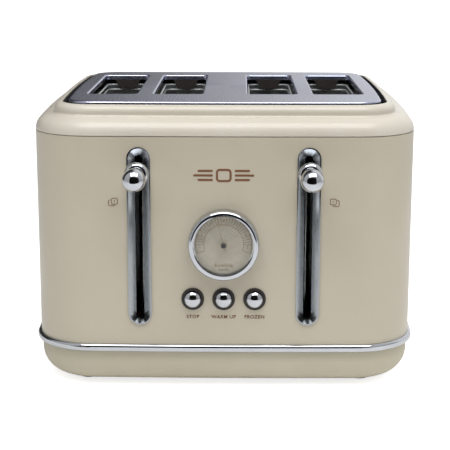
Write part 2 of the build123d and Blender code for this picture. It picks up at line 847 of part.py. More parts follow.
def lever(side):
    """The flat bar through the track, and the chromed collar and ball turned in one piece."""
    x = side * pair_middle
    half = lever_bar_width / 2
    bar_back = rod_y - slider_width / 2
    low, high = lever_height - lever_bar_height / 2, lever_height + lever_bar_height / 2
    bar = block(x - half, x + half, track_face - 4, bar_back, low, high)
    collar_back = collar_from_face - collar_length / 2
    collar_front = collar_from_face + collar_length / 2
    touch = math.sqrt(ball_radius**2 - neck_radius**2)
    profile = Polyline(
        (0, stem_start),
        (stem_radius, stem_start),
        (stem_radius, collar_back),
        (collar_radius, collar_back),
        (collar_radius, collar_front),
        (cone_radius, collar_front),
        (neck_radius, ball_from_face - touch),
        (0, ball_from_face - touch),
        (0, stem_start),
    )
    face = make_face(profile)
    rim = face.vertices().filter_by_position(Axis.X, collar_radius - 0.01, collar_radius + 0.01)
    face = fillet(rim, collar_round)
    from_above = Plane(origin=(x, track_face, lever_height), x_dir=(1, 0, 0), z_dir=(0, 0, -1))
    turned = revolve(from_above * face, Axis((x, 0, lever_height), (0, 1, 0)))
    ball = Pos(x, track_face - ball_from_face, lever_height) * Sphere(ball_radius)
    return turned + ball + bar


def bread_rack(x):
    """A pressed steel strip with wings that hold the slice, running through both end plates."""
    half = rack_wall / 2
    low = rack_top - rack_height
    wing_bottom = rack_top - rack_wing_wall
    rack = block(x - half, x + half, crossbar_back, rear_plate_back + 4, low, wing_bottom + 0.2)
    rack += block(x - half, x + half, crossbar_back, front_plate_back + 1, low, arm_top)
    first = slot_front + 6
    count = int((slot_length - 12) // rack_wing_pitch) + 1
    half = rack_wing_width / 2
    for wing in range(count):
        y = first + wing * rack_wing_pitch
        rack += block(x - half, x + half, y, y + rack_wing_length, wing_bottom, rack_top)
    return rack


def armature(side):
    """The soft iron plate that the electromagnet holds down."""
    x = side * pair_middle
    y = (crossbar_back - crossbar_wall + rod_y + slider_width / 2) / 2
    bottom = lower_flange_height + end_plate_wall + magnet_height + magnet_gap + lever_travel
    plate = block(x - 10, x + 10, y - 5, y + 5, bottom, bottom + armature_wall)
    return plate + block(x - 2, x + 2, y - 2, y + 2, bottom, slider_bottom)


def electromagnet(side):
    x = side * pair_middle
    y = (crossbar_back - crossbar_wall + rod_y + slider_width / 2) / 2
    floor = lower_flange_height + end_plate_wall
    half, deep = magnet_width / 2, magnet_depth / 2
    top = floor + magnet_height
    yoke = block(x - half, x + half, y - 4, y + 4, floor, top)
    yoke -= block(x - half + 4, x - 2.5, y - 5, y + 5, floor + 3, top + 1)
    yoke -= block(x + 2.5, x + half - 4, y - 5, y + 5, floor + 3, top + 1)
    coil = block(x - 6.5, x + 6.5, y - deep, y + deep, floor + 3.2, top - 2)
    coil = fillet(coil.edges().filter_by(Axis.Z), 2)
    coil -= block(x - 2.6, x + 2.6, y - 4.1, y + 4.1, floor, top)
    return Compound(children=[yoke.solid(), coil.solid()])


def carriage_spring(side):
    """The tension spring that lifts the carriage, between its tab and the upper flange."""
    x = side * (pair_middle + spring_offset)
    low = slider_bottom + spring_tab + spring_wire + 0.1
    high = upper_flange_height - spring_wire - 0.1
    path = Helix(pitch=(high - low) / spring_turns, height=high - low, radius=spring_radius)
    section = Plane(origin=path @ 0, z_dir=path % 0) * Circle(spring_wire)
    return Pos(x, rod_y, low) * sweep(section, path)


# ---------------------------------------------------------------- crumb trays and screws


def crumb_tray(side):
    tray = tray_box(side, 0, tray_bottom, tray_rim, tray_front, tray_back)
    front, back = tray_front + tray_wall, tray_back - tray_wall
    return tray - tray_box(side, -tray_wall, tray_bottom + tray_wall, tray_rim + 1, front, back)


def tray_handle(side):
    """A panel that closes the opening and follows the base's curve, with a finger lip."""
    outer = round_bottom(slab(-base_inset, foot_height, base_top), base_round)
    inner = slab(-base_inset - handle_wall, foot_height + handle_wall, base_top)
    inner = round_bottom(inner, base_round - handle_wall)
    opening = tray_box(side, 0, handle_bottom, handle_top, half_depth - 41, half_depth + 9)
    panel = (outer - inner) & opening
    x = side * pair_middle
    backing = block(x - 30, x + 30, tray_back, half_depth - 6, tray_bottom + 1, tray_rim - 2) & outer
    low = (handle_bottom + handle_top) / 2 - handle_tab_height / 2
    half, y = handle_tab_width / 2, half_depth + handle_tab_stand_out
    lip = block(x - half, x + half, half_depth - 8, y, low, low + handle_tab_height)
    lip = fillet(lip.edges().group_by(Axis.Y)[-1], 1.2)
    handle = panel + backing + lip
    return handle - tray_box(side, 1, 0, 40, tray_back - 40, tray_back)


def screws():
    parts = []
    base_seat, base_end = foot_height + screw_recess, chamber_bottom + end_plate_wall + 2
    cover_seat, cover_end = upper_flange_height, groove_height - ledge_thickness
    places = [(x, y, base_seat, base_end) for x, y in POSTS]
    places += [(x, y, cover_seat, cover_end) for x, y in cover_screw_places()]
    for x, y, seat, end in places:
        head = rod_along_z(screw_head, x, y, seat - screw_head_height, seat)
        parts.append((head + rod_along_z(screw_shank, x, y, seat - 0.5, end)).solid())
    for x, z in board_screw_places():
        head = rod_along_y(screw_head, x, z, board_back + screw_head_height, board_back)
        parts.append((head + rod_along_y(screw_shank, x, z, board_back + 0.5, bracket_back + 1)).solid())
    return Compound(children=parts)


# ---------------------------------------------------------------- everything


def main():
    os.makedirs("parts", exist_ok=True)
    put("base_housing", base_housing())
    put("body_shell", body_shell())
    put("top_cover", top_cover())
    put("top_plate", top_plate())
    put("trim_ring", trim_ring())
    put("feet", feet())
    put("cord_gland", cord_gland())
    put("control_bracket", control_bracket())
    put("control_board", control_board())
    put("button_switches", button_switches())
    put("button_bezels", button_bezels())
    for name, x in BUTTONS.items():
        put(f"{name}_button", push_button(x))
    put("dial_potentiometer", dial_potentiometer())
    put("dial_face", dial_face())
    put("dial_ring", dial_ring())
    put("dial_lens", dial_lens())
    put("dial_pointer", dial_pointer())
    put("front_chassis", front_chassis())
    put("rear_chassis", rear_chassis())
    put("heat_shields", heat_shields())
    put("heating_ribbons", heating_ribbons())
    put("screws", screws())
    for hand, side in SIDES.items():
        put(f"{hand}_lever_bezel", lever_bezel(side))
        put(f"{hand}_guide_rod", guide_rod(side))
        put(f"{hand}_carriage_slider", carriage_slider(side))
        put(f"{hand}_lever", lever(side))
        put(f"{hand}_armature", armature(side))
        put(f"{hand}_electromagnet", electromagnet(side))
        put(f"{hand}_carriage_spring", carriage_spring(side))
        put(f"{hand}_crumb_tray", crumb_tray(side))
        put(f"{hand}_tray_handle", tray_handle(side))
        for place, x in zip(("outer", "middle", "inner"), heater_places(side)):
            put(f"{hand}_{place}_heater", heater_board(x))
        for place, x in zip(("outer", "inner"), slot_middles(side)):
            put(f"{hand}_{place}_rack", bread_rack(x))
            put(f"{hand}_{place}_slot_outer_guard", bread_guard(x + side * guard_offset))
            put(f"{hand}_{place}_slot_inner_guard", bread_guard(x - side * guard_offset))


if __name__ == "__main__":
    main()
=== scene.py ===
import math

import bpy
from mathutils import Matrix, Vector


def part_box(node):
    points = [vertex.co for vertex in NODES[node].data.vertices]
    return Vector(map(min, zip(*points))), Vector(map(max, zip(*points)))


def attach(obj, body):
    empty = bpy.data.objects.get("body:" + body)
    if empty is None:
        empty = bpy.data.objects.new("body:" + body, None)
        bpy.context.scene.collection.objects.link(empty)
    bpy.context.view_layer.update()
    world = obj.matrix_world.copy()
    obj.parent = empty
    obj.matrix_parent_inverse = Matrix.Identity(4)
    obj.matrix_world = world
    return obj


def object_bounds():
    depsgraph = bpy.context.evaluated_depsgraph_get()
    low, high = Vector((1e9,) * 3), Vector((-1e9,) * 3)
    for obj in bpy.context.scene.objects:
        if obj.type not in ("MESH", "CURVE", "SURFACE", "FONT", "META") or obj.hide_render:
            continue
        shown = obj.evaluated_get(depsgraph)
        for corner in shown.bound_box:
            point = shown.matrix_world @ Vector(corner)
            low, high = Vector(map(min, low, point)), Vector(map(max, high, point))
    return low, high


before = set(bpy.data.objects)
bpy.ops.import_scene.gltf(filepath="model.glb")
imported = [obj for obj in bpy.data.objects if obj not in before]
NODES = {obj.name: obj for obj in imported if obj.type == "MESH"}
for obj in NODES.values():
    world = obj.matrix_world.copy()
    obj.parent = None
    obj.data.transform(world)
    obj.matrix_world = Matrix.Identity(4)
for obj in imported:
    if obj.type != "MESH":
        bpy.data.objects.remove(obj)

cad_low, cad_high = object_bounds()

# Four-slice toaster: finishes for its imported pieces, its printed marks and a plain studio.
# Lengths are metres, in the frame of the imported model: +Z up, the levers on the -Y side.
MM = 0.001


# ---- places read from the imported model

def middle(node):
    """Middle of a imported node's box."""
    low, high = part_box(node)
    return (low + high) / 2


DIAL = middle("dial_face")
BUTTONS = [middle(f"{name}_button") for name in ("cancel", "reheat", "defrost")]
LEFT_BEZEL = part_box("left_lever_bezel")
RIGHT_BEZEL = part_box("right_lever_bezel")
PLATE_LOW, PLATE_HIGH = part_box("top_plate")


# ---- finishes

def shade(red, green, blue):
    """Linear colour of a display colour given as 0-255."""
    parts = []
    for value in (red, green, blue):
        part = value / 255
        parts.append(part / 12.92 if part <= 0.04045 else ((part + 0.055) / 1.055) ** 2.4)
    return (*parts, 1.0)


class Finish:
    """One material: a Principled shader fed by patterns in the piece's own space."""

    def __init__(self, name, **constants):
        self.material = bpy.data.materials.new(name)
        self.material.use_nodes = True
        self.tree = self.material.node_tree
        self.shader = self.tree.nodes["Principled BSDF"]
        self.place = self.add("ShaderNodeTexCoord").outputs["Object"]
        self.normal = None
        for socket, value in constants.items():
            self.shader.inputs[socket.replace("_", " ")].default_value = value

    def add(self, kind, **settings):
        node = self.tree.nodes.new(kind)
        for key, value in settings.items():
            setattr(node, key, value)
        return node

    def link(self, source, target):
        self.tree.links.new(source, target)

    def drawn_out(self, along, turn=(0, 0, 0), centre=(0, 0, 0)):
        """The piece's space, squeezed so that a pattern stretches along an axis."""
        mapping = self.add("ShaderNodeMapping", vector_type="TEXTURE")
        mapping.inputs["Location"].default_value = centre
        mapping.inputs["Rotation"].default_value = turn
        mapping.inputs["Scale"].default_value = along
        self.link(self.place, mapping.inputs["Vector"])
        return mapping.outputs["Vector"]

    def noise(self, size, detail=3.0, space=None):
        """Soft cloudy pattern whose lumps are about size across."""
        node = self.add("ShaderNodeTexNoise")
        node.inputs["Scale"].default_value = 1 / size
        node.inputs["Detail"].default_value = detail
        self.link(space or self.place, node.inputs["Vector"])
        return node.outputs["Fac"]

    def cells(self, size, space=None, feature="F1", output="Distance"):
        """Cell pattern with cells about size across."""
        node = self.add("ShaderNodeTexVoronoi", feature=feature)
        node.inputs["Scale"].default_value = 1 / size
        self.link(space or self.place, node.inputs["Vector"])
        return node.outputs[output]

    def bands(self, pitch, axis, space=None, distortion=0.0):
        """Parallel waves, pitch apart along an axis."""
        node = self.add("ShaderNodeTexWave", bands_direction=axis)
        node.inputs["Scale"].default_value = 2 * math.pi / (20 * pitch)
        node.inputs["Distortion"].default_value = distortion
        self.link(space or self.place, node.inputs["Vector"])
        return node.outputs["Fac"]

    def ramp(self, factor, *stops):
        """Colours along a pattern: each stop is a place and a colour."""
        node = self.add("ShaderNodeValToRGB")
        elements = node.color_ramp.elements
        while len(elements) < len(stops):
            elements.new(0.5)
        for element, (place, colour) in zip(elements, stops):
            element.position = place
            element.color = colour
        self.link(factor, node.inputs["Fac"])
        return node.outputs["Color"]

    def mixed(self, factor, first, second):
        """Two colour patterns mixed by a third pattern."""
        node = self.add("ShaderNodeMixRGB")
        self.link(factor, node.inputs["Fac"])
        self.link(first, node.inputs["Color1"])
        self.link(second, node.inputs["Color2"])
        return node.outputs["Color"]

    def scaled(self, factor, low, high, start=0.3, end=0.7):
        """A pattern stretched from start..end to low..high."""
        node = self.add("ShaderNodeMapRange", interpolation_type="SMOOTHSTEP")
        node.inputs["From Min"].default_value = start
        node.inputs["From Max"].default_value = end
        node.inputs["To Min"].default_value = low
        node.inputs["To Max"].default_value = high
        self.link(factor, node.inputs["Value"])
        return node.outputs["Result"]

    def colour(self, source):
        self.link(source, self.shader.inputs["Base Color"])

    def gloss(self, factor, low, high):
        """Roughness from low to high over a pattern."""
        self.link(self.scaled(factor, low, high), self.shader.inputs["Roughness"])

    def relief(self, factor, height):
        """Bump of a real height, added to any bump already there."""
        node = self.add("ShaderNodeBump")
        node.inputs["Strength"].default_value = 1.0
        node.inputs["Distance"].default_value = height
        self.link(factor, node.inputs["Height"])
        if self.normal:
            self.link(self.normal, node.inputs["Normal"])
        self.normal = node.outputs["Normal"]
        self.link(self.normal, self.shader.inputs["Normal"])


def cream_enamel():
    """Gloss cream enamel on the steel wrap: faint orange peel, slow drift in tone."""
    finish = Finish("cream_enamel", Coat_Weight=0.35, Coat_Roughness=0.06, Specular_IOR_Level=0.35)
    drift = finish.noise(70 * MM, 2.0)
    finish.colour(finish.ramp(drift, (0.3, shade(193, 184, 165)), (0.7, shade(198, 190, 171))))
    peel = finish.noise(1.6 * MM, 2.0)
    finish.gloss(finish.noise(9 * MM), 0.30, 0.38)
    finish.relief(peel, 0.006 * MM)
    return finish.material


def cream_cover():
    """The same cream on the moulded top cover, a little smoother and softer, but painted lighter than the
    wrap's: painted light for the upward-facing band under the overhead light.
    """
    finish = Finish("cream_cover", Coat_Weight=0.3, Coat_Roughness=0.10, Specular_IOR_Level=0.4)
    drift = finish.noise(55 * MM, 2.0)
    # painted light: colours lighter than the wrap's cream
    finish.colour(finish.ramp(drift, (0.3, shade(203, 196, 182)), (0.7, shade(208, 202, 189))))
    finish.gloss(finish.noise(7 * MM), 0.32, 0.42)
    finish.relief(finish.noise(2.2 * MM, 2.0), 0.005 * MM)
    return finish.material


def base_moulding():
    """Satin moulded plastic of the base and tray handles, slightly greener than the wrap."""
    finish = Finish("base_moulding", Specular_IOR_Level=0.35)
    drift = finish.noise(40 * MM, 3.0)
    finish.colour(finish.ramp(drift, (0.3, shade(193, 186, 165)), (0.7, shade(198, 192, 171))))
    finish.gloss(finish.noise(5 * MM), 0.46, 0.56)
    finish.relief(finish.noise(0.5 * MM, 2.0), 0.012 * MM)
    return finish.material


def brushed_plate():
    """Blue-grey steel of the top plate, brushed from front to back."""
    finish = Finish("brushed_plate", Metallic=1.0, Anisotropic=0.3)
    fine = finish.noise(0.35 * MM, 3.0, finish.drawn_out((1, 60, 1)))
    broad = finish.noise(3 * MM, 2.0, finish.drawn_out((1, 30, 1)))
    lines = finish.ramp(fine, (0.3, shade(182, 186, 205)), (0.7, shade(194, 198, 217)))
    sheen = finish.ramp(broad, (0.3, shade(184, 188, 208)), (0.7, shade(192, 196, 216)))
    finish.colour(finish.mixed(broad, lines, sheen))
    finish.gloss(fine, 0.22, 0.28)
    finish.relief(fine, 0.0003 * MM)
    return finish.material


def bright_chrome():
    """Polished chrome plate with the faint smears of handling."""
    finish = Finish("bright_chrome", Metallic=1.0)
    smear = finish.noise(11 * MM, 4.0)
    finish.colour(finish.ramp(smear, (0.3, shade(192, 195, 200)), (0.7, shade(200, 203, 208))))
    finish.gloss(smear, 0.035, 0.085)
    finish.relief(finish.noise(2.5 * MM, 1.0), 0.0008 * MM)
    return finish.material


def satin_bezel():
    """Satin chrome of the two lever bezels. The satin roughness is real, but the colour greyer than the
    bright chrome is painted shade: a darker copy for the troughs' dim reflection.
    """
    finish = Finish("satin_bezel", Metallic=1.0)
    smear = finish.noise(14 * MM, 3.0)
    # painted shade: colours darker than the bright chrome's
    finish.colour(finish.ramp(smear, (0.3, shade(160, 164, 168)), (0.7, shade(166, 170, 173))))
    finish.gloss(smear, 0.18, 0.24)
    finish.relief(finish.noise(3 * MM, 1.0), 0.0006 * MM)
    return finish.material


def soot_black():
    """Dead black used as painted shade: on the skin over the well round the plate and on the strips under the
    slots, where shade falls.
    """
    finish = Finish("soot_black", Specular_IOR_Level=0.12)
    dust = finish.noise(4 * MM)
    # painted shade: near-black colours that stand in for the shade in the well and under the slots
    finish.colour(finish.ramp(dust, (0.3, shade(14, 13, 13)), (0.7, shade(20, 19, 19))))
    finish.gloss(dust, 0.62, 0.75)
    finish.relief(finish.noise(0.4 * MM), 0.01 * MM)
    return finish.material


def cage_zinc():
    """Pale zinc-coated wire of the cages under the slots."""
    finish = Finish("cage_zinc", Metallic=0.6)
    bloom = finish.noise(2 * MM)
    finish.colour(finish.ramp(bloom, (0.3, shade(198, 202, 204)), (0.7, shade(216, 219, 220))))
    finish.gloss(bloom, 0.30, 0.42)
    finish.relief(finish.noise(0.4 * MM), 0.006 * MM)
    return finish.material


def matt_black():
    """Matt black plastic of the button rings and inner mouldings, finely spark-eroded."""
    finish = Finish("matt_black", Specular_IOR_Level=0.4)
    spark = finish.noise(0.35 * MM, 3.0)
    finish.colour(finish.ramp(finish.noise(6 * MM), (0.3, shade(40, 35, 33)), (0.7, shade(50, 45, 42))))
    finish.gloss(spark, 0.42, 0.58)
    finish.relief(spark, 0.02 * MM)
    return finish.material


def dial_enamel():
    """Satin cream enamel of the dial face, a shade darker round the middle."""
    finish = Finish("dial_enamel", Specular_IOR_Level=0.3)
    length = finish.add("ShaderNodeVectorMath", operation="LENGTH")
    round_dial = finish.drawn_out((1, 100, 1), centre=DIAL)
    finish.link(round_dial, length.inputs[0])
    from_middle = finish.scaled(length.outputs["Value"], 0.0, 1.0, 2 * MM, 19 * MM)
    plain = finish.ramp(from_middle, (0.0, shade(183, 173, 154)), (1.0, shade(199, 190, 170)))
    grain = finish.ramp(finish.noise(2 * MM), (0.3, shade(186, 177, 158)), (0.7, shade(196, 187, 168)))
    half = finish.scaled(finish.noise(8 * MM), 0.15, 0.35)
    finish.colour(finish.mixed(half, plain, grain))
    finish.gloss(finish.noise(3 * MM), 0.40, 0.50)
    finish.relief(finish.noise(0.6 * MM), 0.004 * MM)
    return finish.material


def clear_lens():
    """Thin clear lens over the dial, with a trace of haze."""
    finish = Finish("clear_lens", IOR=1.49, Specular_IOR_Level=0.5)
    haze = finish.noise(6 * MM, 3.0)
    finish.colour(finish.ramp(haze, (0.3, shade(212, 210, 200)), (0.7, shade(222, 221, 212))))
    finish.link(finish.scaled(haze, 0.10, 0.16), finish.shader.inputs["Alpha"])
    finish.gloss(haze, 0.03, 0.07)
    finish.relief(finish.noise(9 * MM, 1.0), 0.002 * MM)
    return finish.material


def pointer_enamel():
    """Dial needle in a tan enamel, on a dark turned pin."""
    finish = Finish("pointer_enamel", Specular_IOR_Level=0.4)
    length = finish.add("ShaderNodeVectorMath", operation="LENGTH")
    finish.link(finish.drawn_out((1, 100, 1), centre=DIAL), length.inputs[0])
    from_pin = finish.scaled(length.outputs["Value"], 0.0, 1.0, 1.8 * MM, 2.2 * MM)
    pin = finish.ramp(finish.noise(0.7 * MM), (0.3, shade(52, 50, 50)), (0.7, shade(72, 70, 70)))
    needle = finish.ramp(finish.noise(2 * MM), (0.3, shade(160, 147, 118)), (0.7, shade(168, 155, 126)))
    finish.colour(finish.mixed(from_pin, pin, needle))
    finish.gloss(finish.noise(1.5 * MM), 0.30, 0.42)
    finish.relief(finish.noise(0.5 * MM), 0.004 * MM)
    return finish.material


def galvanised_sheet():
    """Hot-dipped sheet with zinc spangle, for chassis, racks and trays."""
    finish = Finish("galvanised_sheet", Metallic=0.95)
    flakes = finish.cells(7 * MM, output="Color")
    fleck = finish.ramp(flakes, (0.2, shade(142, 146, 148)), (0.8, shade(172, 176, 178)))
    cloud = finish.ramp(finish.noise(18 * MM), (0.3, shade(148, 152, 154)), (0.7, shade(166, 170, 172)))
    finish.colour(finish.mixed(finish.noise(4 * MM), fleck, cloud))
    finish.gloss(flakes, 0.30, 0.48)
    finish.relief(finish.noise(0.8 * MM), 0.010 * MM)
    return finish.material


def drawn_wire():
    """Plain drawn steel wire with its die lines."""
    finish = Finish("drawn_wire", Metallic=1.0)
    lines = finish.noise(0.3 * MM, 3.0, finish.drawn_out((1, 1, 30)))
    finish.colour(finish.ramp(lines, (0.3, shade(176, 178, 180)), (0.7, shade(205, 207, 208))))
    finish.gloss(lines, 0.20, 0.34)
    finish.relief(lines, 0.006 * MM)
    return finish.material


def zinc_plate():
    """Bright zinc plating of the screws, faintly yellow."""
    finish = Finish("zinc_plate", Metallic=1.0)
    stain = finish.noise(1.5 * MM, 4.0)
    finish.colour(finish.ramp(stain, (0.3, shade(178, 176, 164)), (0.7, shade(204, 204, 198))))
    finish.gloss(stain, 0.22, 0.40)
    finish.relief(finish.noise(0.3 * MM), 0.008 * MM)
    return finish.material


def flaked_mica():
    """Pressed mica board of the heaters: overlapping flakes with a pearly shine."""
    finish = Finish("flaked_mica", Specular_IOR_Level=0.7)
    flakes = finish.cells(5 * MM, output="Color")
    pale = finish.ramp(flakes, (0.1, shade(150, 138, 112)), (0.9, shade(196, 186, 160)))
    scorch = finish.ramp(finish.noise(30 * MM), (0.3, shade(140, 120, 92)), (0.7, shade(186, 174, 146)))
    finish.colour(finish.mixed(finish.noise(12 * MM), pale, scorch))
    finish.gloss(flakes, 0.22, 0.50)
    finish.relief(finish.cells(5 * MM), 0.03 * MM)
    return finish.material


def heated_ribbon():
    """Resistance ribbon, oxidised by heat in blue and brown bands."""
    finish = Finish("heated_ribbon", Metallic=0.9)
    heat = finish.noise(14 * MM, 3.0)
    oxide = ((0.3, shade(96, 88, 84)), (0.5, shade(128, 112, 96)), (0.7, shade(104, 108, 118)))
    finish.colour(finish.ramp(heat, *oxide))
    finish.gloss(heat, 0.34, 0.52)
    finish.relief(finish.noise(0.5 * MM), 0.005 * MM)
    return finish.material


def wound_copper():
    """Enamelled copper winding of the hold-down magnets."""
    finish = Finish("wound_copper", Metallic=0.9)
    turns = finish.bands(0.45 * MM, "Z")
    finish.colour(finish.ramp(turns, (0.1, shade(112, 58, 34)), (0.9, shade(190, 112, 72))))
    finish.gloss(turns, 0.28, 0.45)
    finish.relief(turns, 0.10 * MM)
    return finish.material


def circuit_laminate():
    """Green solder resist over copper tracks."""
    finish = Finish("circuit_laminate", Specular_IOR_Level=0.5)
    tracks = finish.scaled(finish.bands(3.2 * MM, "X", distortion=3.0), 0.0, 1.0, 0.55, 0.62)
    ground = finish.ramp(finish.noise(5 * MM), (0.3, shade(20, 66, 38)), (0.7, shade(28, 80, 46)))
    copper = finish.ramp(finish.noise(2 * MM), (0.3, shade(52, 112, 62)), (0.7, shade(66, 128, 72)))
    finish.colour(finish.mixed(tracks, ground, copper))
    finish.gloss(tracks, 0.30, 0.38)
    finish.relief(tracks, 0.035 * MM)
    return finish.material


def grey_rubber():
    """Dark grey rubber of the feet and the cord inlet."""
    finish = Finish("grey_rubber", Specular_IOR_Level=0.3)
    bloom = finish.noise(3 * MM, 4.0)
    finish.colour(finish.ramp(bloom, (0.3, shade(74, 72, 68)), (0.7, shade(92, 90, 85))))
    finish.gloss(bloom, 0.62, 0.80)
    finish.relief(finish.noise(0.4 * MM), 0.02 * MM)
    return finish.material


def copper_ink():
    """Copper-brown pad print of the front's marks."""
    finish = Finish("copper_ink", Specular_IOR_Level=0.3)
    spread = finish.noise(0.8 * MM, 3.0)
    finish.colour(finish.ramp(spread, (0.3, shade(116, 78, 56)), (0.7, shade(128, 90, 66))))
    finish.gloss(spread, 0.45, 0.60)
    finish.relief(spread, 0.01 * MM)
    return finish.material


def scale_ink():
    """Thin tan print of the dial's scale."""
    finish = Finish("scale_ink", Specular_IOR_Level=0.25)
    spread = finish.noise(0.8 * MM, 3.0)
    finish.colour(finish.ramp(spread, (0.3, shade(138, 110, 66)), (0.7, shade(150, 122, 78))))
    finish.gloss(spread, 0.50, 0.65)
    finish.relief(spread, 0.006 * MM)
    return finish.material


FINISH_OF_SLOT = {
    "painted_shell": cream_enamel(),
    # painted light: the cover's cream is a lighter copy of the wrap's
    "painted_cover": cream_cover(),
    "base_plastic": base_moulding(),
    "brushed_plate": brushed_plate(),
    "bright_chrome": bright_chrome(),
    "black_plastic": matt_black(),
    "dial_enamel": dial_enamel(),
    "clear_lens": clear_lens(),
    "pointer_steel": pointer_enamel(),
    "galvanised_sheet": galvanised_sheet(),
    "bright_wire": drawn_wire(),
    "zinc_screw": zinc_plate(),
    "heater_mica": flaked_mica(),
    "resistance_ribbon": heated_ribbon(),
    "coil_copper": wound_copper(),
    "circuit_board": circuit_laminate(),
    "soft_rubber": grey_rubber(),
}
# painted shade: the lever bezels get a darker copy of the chrome
SHADED_BEZEL_CHROME = satin_bezel()
FINISH_OF_NODE = {"left_lever_bezel": SHADED_BEZEL_CHROME, "right_lever_bezel": SHADED_BEZEL_CHROME}
# painted shade: the dead black of the well skin and of the strips under the slots
SHADE_BLACK = soot_black()
CAGE_ZINC = cage_zinc()
COPPER_INK = copper_ink()
SCALE_INK = scale_ink()


def dress_packed_nodes():
    """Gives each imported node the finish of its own, or of its material slot."""
    for name, node in NODES.items():
        for place in node.material_slots:
            place.material = FINISH_OF_NODE.get(name) or FINISH_OF_SLOT[place.material.name]


# ---- modelling by hand

PRINT_GAP = 0.05 * MM  # from the surface to the print's back
PRINT_WALL = 0.10 * MM
TEXT_TURN = (math.pi / 2, 0, 0)  # stands a flat piece up so that it faces the front


def nothing_selected():
    if bpy.context.mode != "OBJECT":
        bpy.ops.object.mode_set(mode="OBJECT")
    bpy.ops.object.select_all(action="DESELECT")


def made(name):
    """Names the active object and its mesh."""
    piece = bpy.context.object
    piece.name = name
    piece.data.name = name
    return piece


def placed(piece):
    """Puts the piece's place and turn into its mesh."""
    nothing_selected()
    piece.select_set(True)
    bpy.context.view_layer.objects.active = piece
    bpy.ops.object.transform_apply(location=True, rotation=True, scale=True)


def joined(name, pieces):
    """One piece from several."""
    nothing_selected()
    for piece in pieces:
        piece.select_set(True)
    bpy.context.view_layer.objects.active = pieces[0]
    if len(pieces) > 1:
        bpy.ops.object.join()
    return made(name)


def apply_modifier(piece, kind, **settings):
    """Adds a modifier and applies it at once."""
    nothing_selected()
    piece.select_set(True)
    bpy.context.view_layer.objects.active = piece
    modifier = piece.modifiers.new(kind.title(), kind)
    for key, value in settings.items():
        setattr(modifier, key, value)
    bpy.ops.object.modifier_apply(modifier=modifier.name)


def select_faces(piece, wanted):
    """Selects the faces for which wanted(centre, normal) is true, in face mode."""
    bpy.ops.object.mode_set(mode="EDIT")
    bpy.ops.mesh.select_mode(type="FACE")
    bpy.ops.mesh.select_all(action="DESELECT")
    bpy.ops.object.mode_set(mode="OBJECT")
    for face in piece.data.polygons:
        face.select = wanted(face.center, face.normal)
    bpy.ops.object.mode_set(mode="EDIT")


def select_points(piece, wanted):
    """Selects the points for which wanted(place) is true, in point mode."""
    bpy.ops.object.mode_set(mode="EDIT")
    bpy.ops.mesh.select_mode(type="VERT")
    bpy.ops.mesh.select_all(action="DESELECT")
    bpy.ops.object.mode_set(mode="OBJECT")
    for point in piece.data.vertices:
        point.select = wanted(point.co)
    bpy.ops.object.mode_set(mode="EDIT")


def finished(piece, finish, body):
    """Gives a new piece its finish and the body it rides on."""
    piece.data.materials.clear()
    piece.data.materials.append(finish)
    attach(piece, body)


def printed_on(piece, node, ink, body):
    """Lays a flat front-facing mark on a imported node's front, gives it a print's thickness and ink."""
    nothing_selected()
    bpy.context.view_layer.objects.active = piece
    select_faces(piece, lambda place, normal: normal.y > 0)
    bpy.ops.mesh.flip_normals()
    bpy.ops.object.mode_set(mode="OBJECT")
    apply_modifier(
        piece, "SHRINKWRAP", wrap_method="PROJECT", target=NODES[node], use_project_y=True,
        use_negative_direction=False, use_positive_direction=True, wrap_mode="ABOVE_SURFACE",
        offset=PRINT_GAP,
    )
    apply_modifier(piece, "SOLIDIFY", thickness=PRINT_WALL, offset=1.0)
    finished(piece, ink, body)


def word(name, text, size, place, boldness=0.0):
    """A flat word facing the front, its middle at place, its strokes widened by boldness."""
    nothing_selected()
    bpy.ops.object.text_add(location=place, rotation=TEXT_TURN)
    letters = bpy.context.object
    letters.data.body = text
    letters.data.size = size
    letters.data.align_x = "CENTER"
    letters.data.align_y = "CENTER"
    letters.data.space_character = 1.12
    letters.data.offset = boldness
    letters.data.resolution_u = 4
    bpy.ops.object.convert(target="MESH")
    piece = made(name)
    placed(piece)
    return piece


def flat_bar(width, height, place):
    """A flat front-facing bar with its corners taken off."""
    nothing_selected()
    bpy.ops.mesh.primitive_plane_add(size=1, location=place, rotation=TEXT_TURN)
    piece = bpy.context.object
    piece.scale = (width, height, 1)
    placed(piece)
    bpy.ops.object.mode_set(mode="EDIT")
    bpy.ops.mesh.select_all(action="SELECT")
    bpy.ops.mesh.bevel(offset=min(width, height) * 0.3, segments=3, affect="VERTICES")
    bpy.ops.object.mode_set(mode="OBJECT")
    return piece


def slice_outline(width, height, line, place):
    """Outline of a bread slice: a plane with bevelled corners, inset, its middle taken out."""
    nothing_selected()
    bpy.ops.mesh.primitive_plane_add(size=1, location=place, rotation=TEXT_TURN)
    piece = bpy.context.object
    piece.scale = (width, height, 1)
    placed(piece)
    bpy.ops.object.mode_set(mode="EDIT")
    bpy.ops.mesh.select_all(action="SELECT")
    bpy.ops.mesh.bevel(offset=width * 0.24, segments=5, affect="VERTICES")
    bpy.ops.mesh.select_all(action="SELECT")
    bpy.ops.mesh.inset(thickness=line, depth=0)
    bpy.ops.mesh.delete(type="FACE")
    bpy.ops.object.mode_set(mode="OBJECT")
    return piece


def cut_away(piece, point, normal):
    """Removes what lies beyond a plane, on the side its normal points to."""
    nothing_selected()
    piece.select_set(True)
    bpy.context.view_layer.objects.active = piece
    bpy.ops.object.mode_set(mode="EDIT")
    bpy.ops.mesh.select_all(action="SELECT")
    bpy.ops.mesh.bisect(plane_co=point, plane_no=normal, clear_outer=True)
    bpy.ops.object.mode_set(mode="OBJECT")


# ---- pieces under the top plate

LEDGE_HEIGHT = PLATE_LOW.z  # top of the ledge that the plate's skirt stands on
# the black skin over the well, below, is painted shade
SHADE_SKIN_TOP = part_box("top_cover")[1].z - 0.7 * MM
SHADE_SKIN_GAP = 0.12 * MM
LEDGE_REACH = 12 * MM  # from the plate's edge inwards, all that the ledge takes up
SHADE_SKIN_WALL = 0.35 * MM


